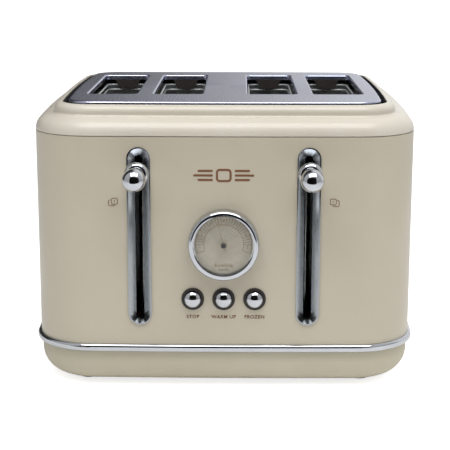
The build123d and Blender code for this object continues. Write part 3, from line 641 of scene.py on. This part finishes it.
def well_lining():
    """Painted shade in the well round the top plate: the wall and ledge of the cover, taken as a thin black
    skin.
    """
    centre = (PLATE_LOW + PLATE_HIGH) / 2
    reach = (PLATE_HIGH - PLATE_LOW) / 2

    def on_wall(place, normal):
        inward = (centre - place).to_2d().normalized()
        beside = abs(place.x) > reach.x - LEDGE_REACH or abs(place.y - centre.y) > reach.y - LEDGE_REACH
        high_enough = LEDGE_HEIGHT - 0.05 * MM < place.z < SHADE_SKIN_TOP + 0.7 * MM
        return beside and high_enough and normal.to_2d().dot(inward) > 0.5

    def on_ledge(place, normal, wall):
        if normal.z < 0.9 or abs(place.z - LEDGE_HEIGHT) > 0.05 * MM:
            return False
        nearest, facing = min(wall, key=lambda face: (face[0] - place).to_2d().length)
        return (place - nearest).to_2d().dot(facing.to_2d()) > 0

    nothing_selected()
    cover = NODES["top_cover"]
    shade_skin = cover.copy()
    shade_skin.data = cover.data.copy()
    for key in list(shade_skin.keys()):
        del shade_skin[key]
    shade_skin.parent = None
    bpy.context.scene.collection.objects.link(shade_skin)
    shade_skin.select_set(True)
    bpy.context.view_layer.objects.active = shade_skin
    made("well_lining")
    bpy.ops.object.mode_set(mode="EDIT")
    bpy.ops.mesh.select_all(action="SELECT")
    bpy.ops.mesh.remove_doubles(threshold=0.001 * MM)
    bpy.ops.object.mode_set(mode="OBJECT")
    faces = [(face.center.copy(), face.normal.copy()) for face in shade_skin.data.polygons]
    wall = [face for face in faces if on_wall(*face)]
    select_faces(shade_skin, lambda place, normal: on_wall(place, normal) or on_ledge(place, normal, wall))
    bpy.ops.mesh.select_all(action="INVERT")
    bpy.ops.mesh.delete(type="FACE")
    bpy.ops.mesh.select_all(action="SELECT")
    bpy.ops.mesh.bisect(plane_co=(0, 0, SHADE_SKIN_TOP), plane_no=(0, 0, 1), clear_outer=True)
    bpy.ops.mesh.select_all(action="SELECT")
    bpy.ops.transform.shrink_fatten(value=SHADE_SKIN_GAP)
    bpy.ops.object.mode_set(mode="OBJECT")
    apply_modifier(shade_skin, "SOLIDIFY", thickness=SHADE_SKIN_WALL, offset=1.0)
    # the black skin is painted shade over the cream cover's well
    finished(shade_skin, SHADE_BLACK, "body")


CAGE_HEIGHTS = (197.6 * MM, 193.4 * MM)
CAGE_WIRE = 0.75 * MM
CAGE_CORNER = 7.0 * MM
CAGE_WIDTH = 34.0 * MM
STUB_LENGTH = 2.4 * MM
STUB_SPREAD = 12.0 * MM


def wire_ring(width, length, corner, wire, place):
    """A closed ring of round wire: a plane with bevelled corners, its rim turned into a tube."""
    nothing_selected()
    bpy.ops.mesh.primitive_plane_add(size=1, location=place)
    ring = bpy.context.object
    ring.scale = (width, length, 1)
    placed(ring)
    bpy.ops.object.mode_set(mode="EDIT")
    bpy.ops.mesh.select_all(action="SELECT")
    bpy.ops.mesh.bevel(offset=corner, segments=7, affect="VERTICES")
    bpy.ops.mesh.select_all(action="SELECT")
    bpy.ops.mesh.delete(type="ONLY_FACE")
    bpy.ops.object.mode_set(mode="OBJECT")
    bpy.ops.object.convert(target="CURVE")
    ring = bpy.context.object
    ring.data.bevel_depth = wire
    ring.data.bevel_resolution = 3
    bpy.ops.object.convert(target="MESH")
    return bpy.context.object


def wire_stub(place, length, wire):
    """A short wire along Y with rounded ends."""
    nothing_selected()
    bpy.ops.mesh.primitive_cylinder_add(
        vertices=14, radius=wire, depth=length, location=place, rotation=(math.pi / 2, 0, 0)
    )
    stub = bpy.context.object
    placed(stub)
    apply_modifier(stub, "BEVEL", width=0.25 * MM, segments=2)
    return stub


def slot_cage(name, x):
    """Two wire rings under a bread slot, on stubs from the end plates, that steer the slice in."""
    front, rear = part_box("front_chassis")[1].y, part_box("rear_chassis")[0].y
    length = rear - front - 2 * STUB_LENGTH
    middle_y = (front + rear) / 2
    parts = []
    for height in CAGE_HEIGHTS:
        parts.append(wire_ring(CAGE_WIDTH, length, CAGE_CORNER, CAGE_WIRE, (x, middle_y, height)))
        for end in (-1, 1):
            for spread in (-STUB_SPREAD, STUB_SPREAD):
                y = middle_y + end * (length + STUB_LENGTH) / 2
                parts.append(wire_stub((x + spread, y, height), STUB_LENGTH, CAGE_WIRE))
    finished(joined(name, parts), CAGE_ZINC, "body")


TAB_TOP = 201.8 * MM
# top of the black strip of painted shade under the slot's rear edge
SHADE_STRIP_TOP = 203.4 * MM
TAB_HEIGHT = 6.6 * MM
TAB_WIDTH = 21.0 * MM
TAB_TAPER = 0.70
TAB_WALL = 1.6 * MM
TAB_FROM_PLATE = 4.2 * MM  # from the rear end plate to the tab's middle
TONGUE_WIDTH = 9.0 * MM
TONGUE_HEIGHT = 1.3 * MM
SHADE_STRIP_GAP = 0.1 * MM
SHADE_STRIP_WIDTH = 46.0 * MM
SHADE_STRIP_HEIGHT = 5.2 * MM
SHADE_STRIP_WALL = 0.8 * MM


def backing_strip(name, x):
    """Painted shade: a black strip across the rear end plate, right under the slot's rear edge, where shade
    falls.
    """
    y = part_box("rear_chassis")[0].y - SHADE_STRIP_WALL / 2 - SHADE_STRIP_GAP
    nothing_selected()
    bpy.ops.mesh.primitive_cube_add(size=1, location=(x, y, SHADE_STRIP_TOP - SHADE_STRIP_HEIGHT / 2))
    strip = made(name)
    strip.scale = (SHADE_STRIP_WIDTH, SHADE_STRIP_WALL, SHADE_STRIP_HEIGHT)
    placed(strip)
    apply_modifier(strip, "BEVEL", width=0.2 * MM, segments=2)
    # painted shade under the slot's rear edge
    finished(strip, SHADE_BLACK, "body")


def centring_tab(name, x):
    """Black moulding on the rear end plate behind a slot: a block narrowed downwards, with a tongue."""
    plate_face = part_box("rear_chassis")[0].y
    nothing_selected()
    tab_y = plate_face - TAB_FROM_PLATE
    bpy.ops.mesh.primitive_cube_add(size=1, location=(x, tab_y, TAB_TOP - TAB_HEIGHT / 2))
    tab = made(name)
    tab.scale = (TAB_WIDTH, TAB_WALL, TAB_HEIGHT)
    placed(tab)
    select_faces(tab, lambda place, normal: normal.z < -0.9)
    bpy.ops.transform.resize(value=(TAB_TAPER, 1, 1), center_override=(x, tab_y, 0))
    bpy.ops.mesh.inset(thickness=0.1 * MM, depth=0)
    bpy.ops.transform.resize(
        value=(TONGUE_WIDTH / (TAB_WIDTH * TAB_TAPER), 1, 1), center_override=(x, tab_y, 0)
    )
    bpy.ops.mesh.extrude_region_move(TRANSFORM_OT_translate={"value": (0, 0, -TONGUE_HEIGHT)})
    select_faces(tab, lambda place, normal: normal.y > 0.9)
    bpy.ops.mesh.inset(thickness=2.0 * MM, depth=0)
    bpy.ops.mesh.extrude_region_move(TRANSFORM_OT_translate={"value": (0, TAB_FROM_PLATE - TAB_WALL / 2, 0)})
    bpy.ops.object.mode_set(mode="OBJECT")
    apply_modifier(tab, "BEVEL", width=0.35 * MM, segments=2, limit_method="ANGLE")
    finished(tab, FINISH_OF_SLOT["black_plastic"], "body")


def slot_fittings():
    """A wire cage and a centring tab for each of the four slots."""
    for side in ("left", "right"):
        for place in ("outer", "inner"):
            guards = [middle(f"{side}_{place}_slot_{guard}_guard") for guard in ("outer", "inner")]
            x = (guards[0].x + guards[1].x) / 2
            slot_cage(f"{side}_{place}_slot_cage", x)
            centring_tab(f"{side}_{place}_centring_tab", x)
            # each slot also gets a strip of painted shade under its rear edge
            backing_strip(f"{side}_{place}_backing_strip", x)


# ---- printed marks on the wrap

MARK_PLANE = cad_low.y  # flat marks start here, in front of everything, before they are laid on
WORD_DROP = 13.3 * MM  # from the buttons' middles to their words
WORD_SIZE = 3.5 * MM
WORD_BOLDNESS = 0.07 * MM
ORNAMENT_RISE = 48.8 * MM  # from the dial's middle to the ornament's
ORNAMENT_SLICE = (11.0 * MM, 9.4 * MM)
ORNAMENT_LINE = 1.5 * MM
ORNAMENT_BAR = (13.5 * MM, 1.5 * MM)
ORNAMENT_BAR_PITCH = 3.2 * MM
ORNAMENT_GAP = 2.2 * MM


def front_ornament():
    """Plain ornament above the dial: a bread slice between two sets of three bars."""
    centre = Vector((DIAL.x, MARK_PLANE, DIAL.z + ORNAMENT_RISE))
    slice_width, slice_height = ORNAMENT_SLICE
    parts = [slice_outline(slice_width, slice_height, ORNAMENT_LINE, centre)]
    bar_width, bar_height = ORNAMENT_BAR
    for side in (-1, 1):
        for step in (-1, 0, 1):
            length = bar_width * (1 - 0.22 * abs(step))
            out = slice_width / 2 + ORNAMENT_GAP + length / 2
            place = centre + Vector((side * out, 0, step * ORNAMENT_BAR_PITCH))
            parts.append(flat_bar(length, bar_height, place))
    printed_on(joined("front_ornament", parts), "body_shell", COPPER_INK, "body")


def button_words():
    """Plain words under the three buttons."""
    for button, text in zip(BUTTONS, ("STOP", "WARM UP", "FROZEN")):
        place = Vector((button.x, MARK_PLANE, button.z - WORD_DROP))
        name = "word_" + text.lower().replace(" ", "_")
        piece = word(name, text, WORD_SIZE, place, WORD_BOLDNESS)
        printed_on(piece, "body_shell", COPPER_INK, "body")


PICTOGRAM_SLICE = 4.6 * MM  # both ways
PICTOGRAM_LINE = 0.42 * MM
PICTOGRAM_GAP = 0.3 * MM
PICTOGRAM_SHIFT = (2.1 * MM, 1.2 * MM)  # of the rear slice, outwards and down
PICTOGRAM_STROKE = (0.4 * MM, 1.5 * MM)
PICTOGRAM_BESIDE_TRACK = 8.8 * MM
PICTOGRAM_DROP = 38.5 * MM  # below the track's top


def slice_pictogram(name, centre, side):
    """Two overlapping slices, the front one towards the lever."""
    outwards, down = PICTOGRAM_SHIFT
    shift = Vector((-side * outwards, 0, -down))
    front = slice_outline(PICTOGRAM_SLICE, PICTOGRAM_SLICE, PICTOGRAM_LINE, centre)
    beside = slice_outline(PICTOGRAM_SLICE, PICTOGRAM_SLICE, PICTOGRAM_LINE, centre + shift)
    below = slice_outline(PICTOGRAM_SLICE, PICTOGRAM_SLICE, PICTOGRAM_LINE, centre + shift)
    edge = centre.x - side * (PICTOGRAM_SLICE / 2 + PICTOGRAM_GAP)
    foot = centre.z - PICTOGRAM_SLICE / 2 - PICTOGRAM_GAP
    cut_away(beside, (edge, 0, 0), (side, 0, 0))
    cut_away(below, (edge, 0, 0), (-side, 0, 0))
    cut_away(below, (0, 0, foot), (0, 0, 1))
    stroke = flat_bar(*PICTOGRAM_STROKE, centre)
    piece = joined(name, [front, beside, below, stroke])
    printed_on(piece, "body_shell", COPPER_INK, "body")


def pictograms():
    """A pictogram on the outer side of each lever track."""
    for name, bezel, side in (("left_slice_mark", LEFT_BEZEL, 1), ("right_slice_mark", RIGHT_BEZEL, -1)):
        outer = bezel[0].x if side > 0 else bezel[1].x
        centre = Vector((outer - side * PICTOGRAM_BESIDE_TRACK, MARK_PLANE, bezel[1].z - PICTOGRAM_DROP))
        slice_pictogram(name, centre, side)


# ---- dial scale

SCALE_INNER = 14.0 * MM
SCALE_OUTER = 19.8 * MM
SCALE_LINE = 0.42 * MM
ARC_POINTS = 360
SCALE_SWEEP = math.radians(218)
NUMBER_STEP = math.radians(32.5)
TICKS_BETWEEN = 4
NUMBERS = 7
NUMBER_SIZE = 3.1 * MM
DIAL_WORD_SIZE = 3.0 * MM
DIAL_WORD_DROP = 15.2 * MM  # from the dial's middle to the first line
DIAL_WORD_PITCH = 3.0 * MM
DIAL_BOLDNESS = 0.05 * MM


def scale_arc(radius):
    """A thin arc about the dial's axis: a circle with its lower part taken out, its line drawn outwards."""
    nothing_selected()
    bpy.ops.mesh.primitive_circle_add(
        vertices=ARC_POINTS, radius=radius - SCALE_LINE / 2, fill_type="NOTHING", rotation=TEXT_TURN
    )
    arc = bpy.context.object
    placed(arc)
    select_points(arc, lambda place: abs(math.atan2(place.x, place.z)) > SCALE_SWEEP / 2 + 0.001)
    bpy.ops.mesh.delete(type="VERT")
    bpy.ops.mesh.select_all(action="SELECT")
    bpy.ops.mesh.extrude_edges_move()
    wider = (radius + SCALE_LINE / 2) / (radius - SCALE_LINE / 2)
    bpy.ops.transform.resize(value=(wider, 1, wider), center_override=(0, 0, 0))
    bpy.ops.mesh.select_all(action="SELECT")
    bpy.ops.transform.translate(value=(DIAL.x, MARK_PLANE, DIAL.z))
    bpy.ops.object.mode_set(mode="OBJECT")
    return arc


def round_the_dial(angle, radius):
    """Point in the marks' plane, clockwise from the top as seen from the front."""
    return Vector((DIAL.x + radius * math.sin(angle), MARK_PLANE, DIAL.z + radius * math.cos(angle)))


def scale_tick(angle):
    """A radial line across the scale's band."""
    piece = flat_bar(SCALE_LINE, SCALE_OUTER - SCALE_INNER, (0, 0, (SCALE_OUTER + SCALE_INNER) / 2))
    piece.rotation_euler = (0, angle, 0)
    piece.location = (DIAL.x, MARK_PLANE, DIAL.z)
    placed(piece)
    return piece


def dial_scale():
    """The printed scale: two arcs, ticks, numbers one to seven and a plain two-line word."""
    marks = [scale_arc(SCALE_INNER), scale_arc(SCALE_OUTER)]
    fine = NUMBER_STEP / (TICKS_BETWEEN + 1)
    first = -NUMBER_STEP * (NUMBERS - 1) / 2
    for index in range((NUMBERS - 1) * (TICKS_BETWEEN + 1)):
        if index % (TICKS_BETWEEN + 1):
            marks.append(scale_tick(first + index * fine))
    for side in (-1, 1):
        marks.append(scale_tick(side * SCALE_SWEEP / 2))
    printed_on(joined("dial_scale", marks), "dial_face", SCALE_INK, "body")
    for number in range(1, NUMBERS + 1):
        place = round_the_dial(first + (number - 1) * NUMBER_STEP, (SCALE_INNER + SCALE_OUTER) / 2)
        piece = word(f"dial_number_{number}", str(number), NUMBER_SIZE, place, DIAL_BOLDNESS)
        printed_on(piece, "dial_face", SCALE_INK, "body")
    for line, text in enumerate(("Browning", "Level")):
        place = Vector((DIAL.x, MARK_PLANE, DIAL.z - DIAL_WORD_DROP - line * DIAL_WORD_PITCH))
        piece = word("dial_word_" + text.lower(), text, DIAL_WORD_SIZE, place, DIAL_BOLDNESS)
        printed_on(piece, "dial_face", SCALE_INK, "body")


# ---- studio

CAMERA_PLACE = (0.0114, -0.9919, 0.3167)
CAMERA_DOWN = 12.425  # degrees
CAMERA_LEFT = 0.696
CAMERA_ROLL = 0.07
LENS = 102.97  # millimetres, on a 36 mm wide sensor


def look_camera():
    """Camera a metre in front and a little above, on a long lens."""
    lens = bpy.data.cameras.new("camera")
    lens.lens = LENS
    lens.sensor_width = 36.0
    lens.clip_start = 0.05
    lens.clip_end = 50.0
    camera = bpy.data.objects.new("camera", lens)
    bpy.context.scene.collection.objects.link(camera)
    camera.location = CAMERA_PLACE
    camera.rotation_euler = [math.radians(turn) for turn in (90 - CAMERA_DOWN, -CAMERA_ROLL, CAMERA_LEFT)]
    bpy.context.scene.camera = camera


TABLE_SIZE = (7.0, 6.6)
TABLE_MIDDLE = 2.57  # how far behind the toaster
TABLE_GLOW = 0.75  # as if lit from below, like a light table


def table_top():
    """White light table: it ends 0.7 m in front of the toaster and runs far back."""
    nothing_selected()
    bpy.ops.mesh.primitive_plane_add(size=1, location=(0, 0, 0))
    table = made("table_top")
    bpy.ops.object.mode_set(mode="EDIT")
    bpy.ops.mesh.select_all(action="SELECT")
    bpy.ops.transform.resize(value=(*TABLE_SIZE, 1))
    bpy.ops.transform.translate(value=(0, TABLE_MIDDLE, 0))
    bpy.ops.mesh.subdivide(number_cuts=4)
    bpy.ops.object.mode_set(mode="OBJECT")
    finish = Finish("white_table", Specular_IOR_Level=0.1)
    finish.colour(finish.ramp(finish.noise(0.4), (0.3, shade(247, 247, 247)), (0.7, shade(250, 250, 250))))
    finish.shader.inputs["Emission Color"].default_value = shade(255, 255, 255)
    seen = finish.add("ShaderNodeLightPath").outputs["Is Camera Ray"]
    finish.link(finish.scaled(seen, 0.0, TABLE_GLOW, 0.0, 1.0), finish.shader.inputs["Emission Strength"])
    finish.gloss(finish.noise(0.05), 0.75, 0.85)
    table.data.materials.append(finish.material)


CARD_WIDTH = 0.36
CARD_BOTTOM = 0.088
CARD_TOP = 0.31
CARD_IN_FRONT = 0.20  # of the wrap's face


def dark_card():
    """Black card in front, seen only in the chrome, which gives the balls and domes their dark middle."""
    nothing_selected()
    place = (0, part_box("body_shell")[0].y - CARD_IN_FRONT, (CARD_BOTTOM + CARD_TOP) / 2)
    bpy.ops.mesh.primitive_plane_add(size=1, location=place, rotation=TEXT_TURN)
    card = made("dark_card")
    card.scale = (CARD_WIDTH, CARD_TOP - CARD_BOTTOM, 1)
    placed(card)
    bpy.ops.object.mode_set(mode="EDIT")
    bpy.ops.mesh.select_all(action="SELECT")
    bpy.ops.mesh.bevel(offset=0.012, segments=4, affect="VERTICES")
    bpy.ops.object.mode_set(mode="OBJECT")
    card.data.materials.append(SHADE_BLACK)
    for ray in ("camera", "diffuse", "transmission", "shadow"):
        setattr(card, f"visible_{ray}", False)


def soft_box(name, place, aim, width, height, watts):
    """A rectangular studio light pointed at aim."""
    light = bpy.data.lights.new(name, "AREA")
    light.shape = "RECTANGLE"
    light.size = width
    light.size_y = height
    light.energy = watts
    lamp = bpy.data.objects.new(name, light)
    bpy.context.scene.collection.objects.link(lamp)
    lamp.location = place
    lamp.rotation_euler = (Vector(aim) - Vector(place)).to_track_quat("-Z", "Y").to_euler()
    lamp.visible_camera = False


def white_room():
    """Pale walls all round, dark only in front, where the room is unlit."""
    world = bpy.data.worlds.new("white_room")
    bpy.context.scene.world = world
    world.use_nodes = True
    tree = world.node_tree
    background = tree.nodes["Background"]

    def node(kind, **settings):
        new = tree.nodes.new(kind)
        for key, value in settings.items():
            setattr(new, key, value)
        return new

    def ranged(source, start, end, low, high):
        new = node("ShaderNodeMapRange", interpolation_type="SMOOTHSTEP")
        for socket, value in zip(("From Min", "From Max", "To Min", "To Max"), (start, end, low, high)):
            new.inputs[socket].default_value = value
        tree.links.new(source, new.inputs["Value"])
        return new.outputs["Result"]

    def maths(operation, first, second=None):
        new = node("ShaderNodeMath", operation=operation)
        for socket, source in zip(new.inputs, (first, second)):
            if isinstance(source, (int, float)):
                socket.default_value = source
            elif source is not None:
                tree.links.new(source, socket)
        return new.outputs["Value"]

    direction = node("ShaderNodeTexCoord").outputs["Generated"]
    split = node("ShaderNodeSeparateXYZ")
    tree.links.new(direction, split.inputs["Vector"])
    across, depth, up = (split.outputs[axis] for axis in "XYZ")
    wall = ranged(up, -0.05, 0.9, 0.50, 0.62)
    sideways = ranged(maths("ABSOLUTE", across), 0.48, 0.62, 0.0, 1.0)
    overhead = ranged(up, 0.34, 0.46, 0.0, 1.0)
    behind = ranged(depth, 0.0, 0.3, 0.0, 1.0)
    lit = maths("MAXIMUM", maths("MAXIMUM", sideways, overhead), 0.02)
    back_wall = ranged(across, -0.20, 0.20, 0.05, 0.92)
    front_part = maths("MULTIPLY", maths("MULTIPLY", wall, lit), maths("SUBTRACT", 1.0, behind))
    glow = maths("ADD", front_part, maths("MULTIPLY", back_wall, behind))
    path = node("ShaderNodeLightPath")
    seen = maths("MAXIMUM", glow, path.outputs["Is Camera Ray"])
    tree.links.new(seen, background.inputs["Strength"])
    background.inputs["Color"].default_value = (1, 1, 1, 1)


def studio():
    look_camera()
    table_top()
    dark_card()
    white_room()
    soft_box("top_box", (0.05, -0.45, 1.05), (0, 0, 0.1), 1.1, 0.6, 9.0)
    view = bpy.context.scene.view_settings
    view.view_transform = "Standard"
    view.look = "None"


# ---- the whole scene

dress_packed_nodes()
well_lining()
slot_fittings()
front_ornament()
button_words()
pictograms()
dial_scale()
studio()
